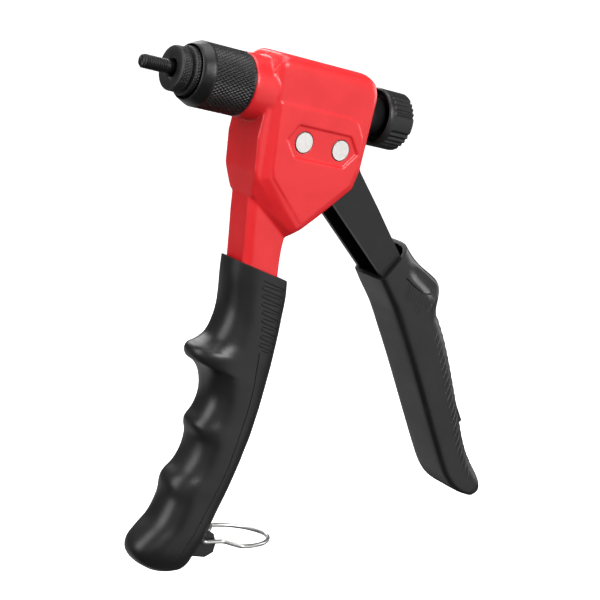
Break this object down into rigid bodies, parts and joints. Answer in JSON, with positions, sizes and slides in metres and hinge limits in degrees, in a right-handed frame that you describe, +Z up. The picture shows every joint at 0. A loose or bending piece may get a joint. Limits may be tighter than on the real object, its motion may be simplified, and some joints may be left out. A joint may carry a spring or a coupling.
{
  "type": "hand riveter",
  "caption": "Hand-squeezed riveter for threaded inserts: red cast head, knurled nose with a threaded mandrel, rear spin knob, finger-grooved fixed grip, pivoting handle and a wire latch",
  "frame": {"origin": "centre of the anvil's front face, on the barrel's axis", "axes": "+X runs rearward along the barrel from nose to knob, +Y is across the tool, +Z is up, away from the handles"},
  "size_m": [0.2505, 0.0288, 0.2379],
  "materials": {
    "red_paint": "satin red powder coat on cast aluminium",
    "bright_steel": "bright turned and ground steel",
    "black_steel": "satin black coated steel",
    "black_oxide": "black oxide on knurled steel",
    "black_knob": "matte black moulding",
    "grip_black": "satin charcoal moulded grip",
    "ring_rubber": "matte rubber ring"
  },
  "bodies": {
    "body": {"body_casting": "red_paint", "barrel_tube": "bright_steel", "fulcrum_pin": "bright_steel", "stop_pin": "bright_steel", "pin_end_caps": "bright_steel", "spring_cap": "black_knob", "return_spring": "bright_steel", "fixed_grip": "grip_black", "bail_bracket": "grip_black", "bracket_screw": "bright_steel"},
    "handle": {"lever_channel": "black_steel", "lever_bush": "bright_steel", "moving_grip": "grip_black"},
    "draw": {"draw_block": "black_steel", "trunnion_rollers": "bright_steel", "thrust_washer": "bright_steel"},
    "spindle": {"spindle": "bright_steel", "spindle_clip": "black_steel", "mandrel_nut": "black_oxide", "mandrel": "black_oxide", "knob": "black_knob", "knob_screw": "bright_steel"},
    "sleeve_carriage": {"sleeve_o_ring": "ring_rubber"},
    "sleeve": {"adjusting_sleeve": "black_oxide"},
    "lock_ring": {"lock_ring": "black_oxide"},
    "anvil": {"anvil": "black_oxide"},
    "bail": {"bail": "bright_steel"}
  },
  "joints": [
    {"name": "handle_swing", "type": "hinge", "parent": "body", "child": "handle", "pos_m": [0.0866, 0, -0.0175], "axis": [0, 1, 0], "range_deg": [0, 30], "stiffness_Nm_per_rad": 0.96, "springref_deg": -38.39},
    {"name": "draw_slide", "type": "slide", "parent": "body", "child": "draw", "axis": [1, 0, 0], "range_m": [0, 0.0094], "deforming": ["return_spring"]},
    {"name": "knob_spin", "type": "hinge", "parent": "draw", "child": "spindle", "pos_m": [0.1, 0, 0], "axis": [1, 0, 0], "continuous": true},
    {"name": "sleeve_advance", "type": "slide", "parent": "body", "child": "sleeve_carriage", "axis": [-1, 0, 0], "range_m": [0, 0.0061]},
    {"name": "sleeve_turn", "type": "hinge", "parent": "sleeve_carriage", "child": "sleeve", "pos_m": [0.02, 0, 0], "axis": [1, 0, 0], "range_deg": [0, 1440]},
    {"name": "lock_ring_turn", "type": "hinge", "parent": "sleeve", "child": "lock_ring", "pos_m": [0.0085, 0, 0], "axis": [1, 0, 0], "range_deg": [0, 360]},
    {"name": "anvil_turn", "type": "hinge", "parent": "sleeve", "child": "anvil", "pos_m": [0.002, 0, 0], "axis": [1, 0, 0], "range_deg": [0, 720]},
    {"name": "bail_swing", "type": "hinge", "parent": "body", "child": "bail", "pos_m": [0.073, 0, -0.2053], "axis": [0, 1, 0], "range_deg": [-45, 85]}
  ],
  "couplings": [
    {"joint": "draw_slide", "follows": "handle_swing", "m_per_rad": 0.01791},
    {"joint": "sleeve_advance", "follows": "sleeve_turn", "m_per_rad": 0.00023873}
  ]
}
